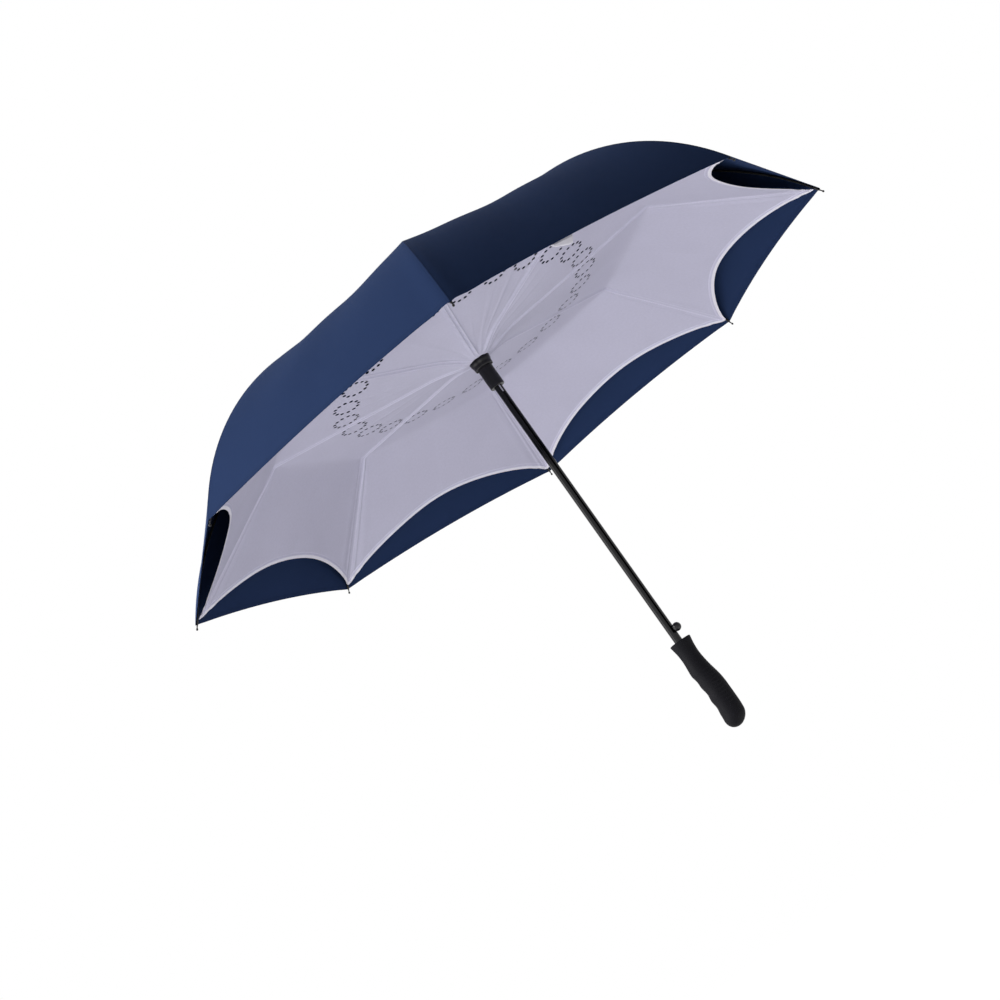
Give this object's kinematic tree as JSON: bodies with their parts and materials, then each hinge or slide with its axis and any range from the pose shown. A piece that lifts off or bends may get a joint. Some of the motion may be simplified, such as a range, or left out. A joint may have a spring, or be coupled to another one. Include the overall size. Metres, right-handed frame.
{
  "type": "inverted umbrella",
  "caption": "Open inverted umbrella with a layered canopy, folding rib linkage, sliding runner, push button and contoured grip.",
  "frame": {"origin": "on the shaft's axis, halfway up the grip, where the hand holds it", "axes": "+Z along the shaft from the grip to the crown; +X along rib 0, on the grip's finger side"},
  "size_m": [1.0674, 1.0674, 0.8075],
  "materials": {
    "navy_fabric": "matte woven",
    "white_fabric": "matte woven",
    "gloss_black": "gloss",
    "black_plastic": "satin",
    "black_rubber": "matte",
    "steel": "bright",
    "glass_fibre": "smooth"
  },
  "bodies": {
    "shaft": {"shaft": "gloss_black", "grip": "black_rubber", "crown": "black_plastic", "crown_cap": "black_plastic", "opening_spring": "steel", "outer_centre": "navy_fabric"},
    "runner": {"runner": "black_plastic", "runner_disc": "black_plastic", "spring_tongue": "steel", "inner_centre": "white_fabric"},
    "button": {"button": "black_plastic"},
    "arm_0": {"rib_arm_0": "steel"},
    "strut_0": {"strut_0": "steel"},
    "rod_0": {"rib_rod_0": "glass_fibre", "outer_gore_0": "navy_fabric", "inner_gore_0": "white_fabric"},
    "arm_1": {"rib_arm_1": "steel"},
    "strut_1": {"strut_1": "steel"},
    "rod_1": {"rib_rod_1": "glass_fibre", "outer_gore_1": "navy_fabric", "inner_gore_1": "white_fabric"},
    "arm_2": {"rib_arm_2": "steel"},
    "strut_2": {"strut_2": "steel"},
    "rod_2": {"rib_rod_2": "glass_fibre", "outer_gore_2": "navy_fabric", "inner_gore_2": "white_fabric", "closure_strap": "white_fabric"},
    "arm_3": {"rib_arm_3": "steel"},
    "strut_3": {"strut_3": "steel"},
    "rod_3": {"rib_rod_3": "glass_fibre", "outer_gore_3": "navy_fabric", "inner_gore_3": "white_fabric"},
    "arm_4": {"rib_arm_4": "steel"},
    "strut_4": {"strut_4": "steel"},
    "rod_4": {"rib_rod_4": "glass_fibre", "outer_gore_4": "navy_fabric", "inner_gore_4": "white_fabric"},
    "arm_5": {"rib_arm_5": "steel"},
    "strut_5": {"strut_5": "steel"},
    "rod_5": {"rib_rod_5": "glass_fibre", "outer_gore_5": "navy_fabric", "inner_gore_5": "white_fabric"},
    "arm_6": {"rib_arm_6": "steel"},
    "strut_6": {"strut_6": "steel"},
    "rod_6": {"rib_rod_6": "glass_fibre", "outer_gore_6": "navy_fabric", "inner_gore_6": "white_fabric"},
    "arm_7": {"rib_arm_7": "steel"},
    "strut_7": {"strut_7": "steel"},
    "rod_7": {"rib_rod_7": "glass_fibre", "outer_gore_7": "navy_fabric", "inner_gore_7": "white_fabric"}
  },
  "joints": [
    {"name": "runner_slide", "type": "slide", "parent": "shaft", "child": "runner", "axis": [0, 0, 1], "range_m": [-0.4088, 0], "stiffness_N_per_m": 30, "springref_m": 0.5, "deforming": ["opening_spring", "outer_centre", "inner_centre"]},
    {"name": "button_press", "type": "slide", "parent": "shaft", "child": "button", "axis": [0.866, -0.5, 0], "range_m": [0, 0.0015], "stiffness_N_per_m": 600, "springref_m": -0.002},
    {"name": "arm_fold_0", "type": "hinge", "parent": "runner", "child": "arm_0", "pos_m": [0.0125, 0, 0.561], "axis": [0, -1, 0], "range_deg": [0, 74.89]},
    {"name": "strut_fold_0", "type": "hinge", "parent": "shaft", "child": "strut_0", "pos_m": [0.0125, 0, 0.71254], "axis": [0, -1, 0], "range_deg": [-73.06, 0]},
    {"name": "rod_fold_0", "type": "hinge", "parent": "arm_0", "child": "rod_0", "pos_m": [0.30794, 0, 0.59466], "axis": [0, -1, 0], "range_deg": [0, 43.67], "deforming": ["outer_gore_0", "inner_gore_0"]},
    {"name": "arm_fold_1", "type": "hinge", "parent": "runner", "child": "arm_1", "pos_m": [0.00884, 0.00884, 0.561], "axis": [0.7071, -0.7071, 0], "range_deg": [0, 74.89]},
    {"name": "strut_fold_1", "type": "hinge", "parent": "shaft", "child": "strut_1", "pos_m": [0.00884, 0.00884, 0.71254], "axis": [0.7071, -0.7071, 0], "range_deg": [-73.06, 0]},
    {"name": "rod_fold_1", "type": "hinge", "parent": "arm_1", "child": "rod_1", "pos_m": [0.21774, 0.21774, 0.59466], "axis": [0.7071, -0.7071, 0], "range_deg": [0, 43.67], "deforming": ["outer_gore_1", "inner_gore_1"]},
    {"name": "arm_fold_2", "type": "hinge", "parent": "runner", "child": "arm_2", "pos_m": [0, 0.0125, 0.561], "axis": [1, 0, 0], "range_deg": [0, 74.89]},
    {"name": "strut_fold_2", "type": "hinge", "parent": "shaft", "child": "strut_2", "pos_m": [0, 0.0125, 0.71254], "axis": [1, 0, 0], "range_deg": [-73.06, 0]},
    {"name": "rod_fold_2", "type": "hinge", "parent": "arm_2", "child": "rod_2", "pos_m": [0, 0.30794, 0.59466], "axis": [1, 0, 0], "range_deg": [0, 43.67], "deforming": ["outer_gore_2", "inner_gore_2", "closure_strap"]},
    {"name": "arm_fold_3", "type": "hinge", "parent": "runner", "child": "arm_3", "pos_m": [-0.00884, 0.00884, 0.561], "axis": [0.7071, 0.7071, 0], "range_deg": [0, 74.89]},
    {"name": "strut_fold_3", "type": "hinge", "parent": "shaft", "child": "strut_3", "pos_m": [-0.00884, 0.00884, 0.71254], "axis": [0.7071, 0.7071, 0], "range_deg": [-73.06, 0]},
    {"name": "rod_fold_3", "type": "hinge", "parent": "arm_3", "child": "rod_3", "pos_m": [-0.21774, 0.21774, 0.59466], "axis": [0.7071, 0.7071, 0], "range_deg": [0, 43.67], "deforming": ["outer_gore_3", "inner_gore_3"]},
    {"name": "arm_fold_4", "type": "hinge", "parent": "runner", "child": "arm_4", "pos_m": [-0.0125, 0, 0.561], "axis": [0, 1, 0], "range_deg": [0, 74.89]},
    {"name": "strut_fold_4", "type": "hinge", "parent": "shaft", "child": "strut_4", "pos_m": [-0.0125, 0, 0.71254], "axis": [0, 1, 0], "range_deg": [-73.06, 0]},
    {"name": "rod_fold_4", "type": "hinge", "parent": "arm_4", "child": "rod_4", "pos_m": [-0.30794, 0, 0.59466], "axis": [0, 1, 0], "range_deg": [0, 43.67], "deforming": ["outer_gore_4", "inner_gore_4"]},
    {"name": "arm_fold_5", "type": "hinge", "parent": "runner", "child": "arm_5", "pos_m": [-0.00884, -0.00884, 0.561], "axis": [-0.7071, 0.7071, 0], "range_deg": [0, 74.89]},
    {"name": "strut_fold_5", "type": "hinge", "parent": "shaft", "child": "strut_5", "pos_m": [-0.00884, -0.00884, 0.71254], "axis": [-0.7071, 0.7071, 0], "range_deg": [-73.06, 0]},
    {"name": "rod_fold_5", "type": "hinge", "parent": "arm_5", "child": "rod_5", "pos_m": [-0.21774, -0.21774, 0.59466], "axis": [-0.7071, 0.7071, 0], "range_deg": [0, 43.67], "deforming": ["outer_gore_5", "inner_gore_5"]},
    {"name": "arm_fold_6", "type": "hinge", "parent": "runner", "child": "arm_6", "pos_m": [0, -0.0125, 0.561], "axis": [-1, 0, 0], "range_deg": [0, 74.89]},
    {"name": "strut_fold_6", "type": "hinge", "parent": "shaft", "child": "strut_6", "pos_m": [0, -0.0125, 0.71254], "axis": [-1, 0, 0], "range_deg": [-73.06, 0]},
    {"name": "rod_fold_6", "type": "hinge", "parent": "arm_6", "child": "rod_6", "pos_m": [0, -0.30794, 0.59466], "axis": [-1, 0, 0], "range_deg": [0, 43.67], "deforming": ["outer_gore_6", "inner_gore_6"]},
    {"name": "arm_fold_7", "type": "hinge", "parent": "runner", "child": "arm_7", "pos_m": [0.00884, -0.00884, 0.561], "axis": [-0.7071, -0.7071, 0], "range_deg": [0, 74.89]},
    {"name": "strut_fold_7", "type": "hinge", "parent": "shaft", "child": "strut_7", "pos_m": [0.00884, -0.00884, 0.71254], "axis": [-0.7071, -0.7071, 0], "range_deg": [-73.06, 0]},
    {"name": "rod_fold_7", "type": "hinge", "parent": "arm_7", "child": "rod_7", "pos_m": [0.21774, -0.21774, 0.59466], "axis": [-0.7071, -0.7071, 0], "range_deg": [0, 43.67], "deforming": ["outer_gore_7", "inner_gore_7"]}
  ],
  "couplings": [
    {"joint": "arm_fold_0", "follows": "runner_slide", "rad_per_m": -3.1974},
    {"joint": "strut_fold_0", "follows": "runner_slide", "rad_per_m": 3.119},
    {"joint": "rod_fold_0", "follows": "runner_slide", "rad_per_m": -1.8645},
    {"joint": "arm_fold_1", "follows": "runner_slide", "rad_per_m": -3.1974},
    {"joint": "strut_fold_1", "follows": "runner_slide", "rad_per_m": 3.119},
    {"joint": "rod_fold_1", "follows": "runner_slide", "rad_per_m": -1.8645},
    {"joint": "arm_fold_2", "follows": "runner_slide", "rad_per_m": -3.1974},
    {"joint": "strut_fold_2", "follows": "runner_slide", "rad_per_m": 3.119},
    {"joint": "rod_fold_2", "follows": "runner_slide", "rad_per_m": -1.8645},
    {"joint": "arm_fold_3", "follows": "runner_slide", "rad_per_m": -3.1974},
    {"joint": "strut_fold_3", "follows": "runner_slide", "rad_per_m": 3.119},
    {"joint": "rod_fold_3", "follows": "runner_slide", "rad_per_m": -1.8645},
    {"joint": "arm_fold_4", "follows": "runner_slide", "rad_per_m": -3.1974},
    {"joint": "strut_fold_4", "follows": "runner_slide", "rad_per_m": 3.119},
    {"joint": "rod_fold_4", "follows": "runner_slide", "rad_per_m": -1.8645},
    {"joint": "arm_fold_5", "follows": "runner_slide", "rad_per_m": -3.1974},
    {"joint": "strut_fold_5", "follows": "runner_slide", "rad_per_m": 3.119},
    {"joint": "rod_fold_5", "follows": "runner_slide", "rad_per_m": -1.8645},
    {"joint": "arm_fold_6", "follows": "runner_slide", "rad_per_m": -3.1974},
    {"joint": "strut_fold_6", "follows": "runner_slide", "rad_per_m": 3.119},
    {"joint": "rod_fold_6", "follows": "runner_slide", "rad_per_m": -1.8645},
    {"joint": "arm_fold_7", "follows": "runner_slide", "rad_per_m": -3.1974},
    {"joint": "strut_fold_7", "follows": "runner_slide", "rad_per_m": 3.119},
    {"joint": "rod_fold_7", "follows": "runner_slide", "rad_per_m": -1.8645}
  ]
}
